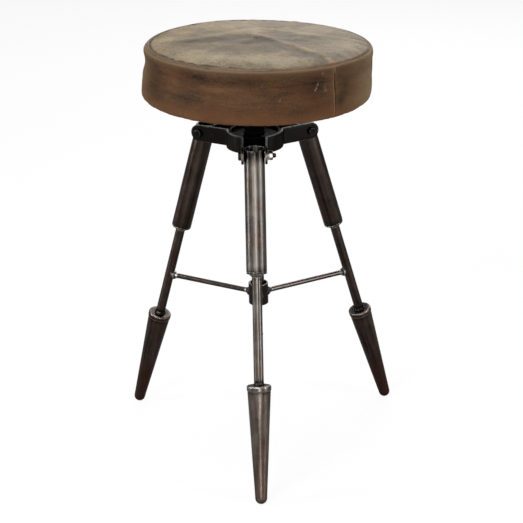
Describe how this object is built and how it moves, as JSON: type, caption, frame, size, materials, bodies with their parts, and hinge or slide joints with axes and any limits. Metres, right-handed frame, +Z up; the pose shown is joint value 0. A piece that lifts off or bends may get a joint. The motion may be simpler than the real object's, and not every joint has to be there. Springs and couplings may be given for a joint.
{
  "type": "three leg screw stool",
  "caption": "Round leather seat on a screw spindle, held by a strap bracket over splayed steel legs with tapered feet and tie rods.",
  "frame": {"origin": "on the spindle's axis, at floor level", "axes": "+Z up along the spindle, -Y towards the front leg, +X to the right of a person facing the front leg"},
  "size_m": [0.4684, 0.454, 0.7],
  "materials": {
    "leather": "distressed waxed brown leather",
    "leather_edge": "worn leather seam",
    "foam": "open cell foam",
    "plywood": "raw plywood",
    "dust_cloth": "black non-woven cloth",
    "leg_steel": "burnished and lacquered raw steel",
    "foot_steel": "turned raw steel, lacquered",
    "bracket_steel": "blackened steel, worn bright at the edges",
    "spindle_steel": "oiled dark steel",
    "bolt_black": "black oxide",
    "zinc": "bright zinc",
    "bronze": "plain bronze"
  },
  "bodies": {
    "base": {"leg_tube_front": "leg_steel", "tube_end_plate_front": "leg_steel", "leg_rod_front": "leg_steel", "foot_front": "foot_steel", "leg_bolt_front": "bolt_black", "bolt_washer_front": "zinc", "bolt_nut_front": "zinc", "stretcher_front": "leg_steel", "leg_tube_left": "leg_steel", "tube_end_plate_left": "leg_steel", "leg_rod_left": "leg_steel", "foot_left": "foot_steel", "leg_bolt_left": "bolt_black", "bolt_washer_left": "zinc", "bolt_nut_left": "zinc", "stretcher_left": "leg_steel", "leg_tube_right": "leg_steel", "tube_end_plate_right": "leg_steel", "leg_rod_right": "leg_steel", "foot_right": "foot_steel", "leg_bolt_right": "bolt_black", "bolt_washer_right": "zinc", "bolt_nut_right": "zinc", "stretcher_right": "leg_steel", "strap_front_right": "bracket_steel", "strap_back": "bracket_steel", "strap_front_left": "bracket_steel", "housing_drum": "bracket_steel", "housing_deck": "bracket_steel", "spindle_nut": "bracket_steel", "hub_tube": "leg_steel"},
    "lift": {"stop_washer": "bronze"},
    "seat": {"spindle": "spindle_steel", "stop_collar": "spindle_steel", "stop_pin": "zinc", "seat_socket": "bracket_steel", "seat_flange": "bracket_steel", "flange_screw_1": "zinc", "flange_screw_2": "zinc", "flange_screw_3": "zinc", "flange_screw_4": "zinc", "seat_board": "plywood", "seat_foam": "foam", "cover_top": "leather", "cover_welt": "leather_edge", "cover_band": "leather", "dust_cover": "dust_cloth"}
  },
  "joints": [
    {"name": "seat_lift", "type": "slide", "parent": "base", "child": "lift", "axis": [0, 0, 1], "range_m": [0, 0.15]},
    {"name": "seat_turn", "type": "hinge", "parent": "lift", "child": "seat", "pos_m": [0, 0, 0.55], "axis": [0, 0, 1], "range_deg": [0, 9000]}
  ],
  "couplings": [
    {"joint": "seat_lift", "follows": "seat_turn", "m_per_rad": 0.00095493}
  ]
}
